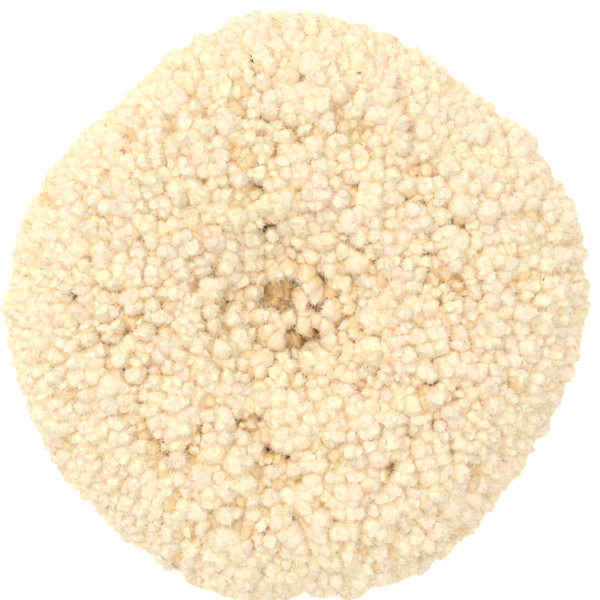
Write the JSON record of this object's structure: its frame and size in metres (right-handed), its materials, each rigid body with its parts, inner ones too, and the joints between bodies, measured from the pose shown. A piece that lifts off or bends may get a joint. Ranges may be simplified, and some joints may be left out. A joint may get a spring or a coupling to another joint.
{
  "type": "polishing pad",
  "caption": "Round wool polishing pad with a rolled edge, a dimpled face, a centring hole and a hook-and-loop back.",
  "frame": {"origin": "on the spin axis, in the plane of the loop fabric's back face", "axes": "+Z along the spin axis, out of the wool face; +X along the tufting rows"},
  "size_m": [0.19, 0.19, 0.039],
  "materials": {
    "wool_yarn": "twisted wool yarn, cut pile, matt with a soft fuzz",
    "cotton_canvas": "plain woven cotton",
    "latex": "dried latex coating",
    "polyurethane_foam": "open-cell foam",
    "nylon_loop": "brushed nylon loop",
    "polyester_thread": "spun polyester thread"
  },
  "bodies": {
    "root": {"lower_row_11": "wool_yarn", "lower_row_10": "wool_yarn", "lower_row_09": "wool_yarn", "lower_row_08": "wool_yarn", "lower_row_07": "wool_yarn", "lower_row_06": "wool_yarn", "lower_row_05": "wool_yarn", "lower_row_04": "wool_yarn", "lower_row_03": "wool_yarn", "lower_row_02": "wool_yarn", "lower_row_01_left": "wool_yarn", "lower_row_01_right": "wool_yarn", "upper_row_01_left": "wool_yarn", "upper_row_01_right": "wool_yarn", "upper_row_02": "wool_yarn", "upper_row_03": "wool_yarn", "upper_row_04": "wool_yarn", "upper_row_05": "wool_yarn", "upper_row_06": "wool_yarn", "upper_row_07": "wool_yarn", "upper_row_08": "wool_yarn", "upper_row_09": "wool_yarn", "upper_row_10": "wool_yarn", "upper_row_11": "wool_yarn", "tufting_canvas": "cotton_canvas", "latex_coat": "latex", "foam_core": "polyurethane_foam", "loop_backing": "nylon_loop", "rim_seam_needle_thread": "polyester_thread", "rim_seam_bobbin_thread": "polyester_thread", "hole_seam_needle_thread": "polyester_thread", "hole_seam_bobbin_thread": "polyester_thread", "rim_overlock_thread": "polyester_thread"}
  },
  "joints": []
}
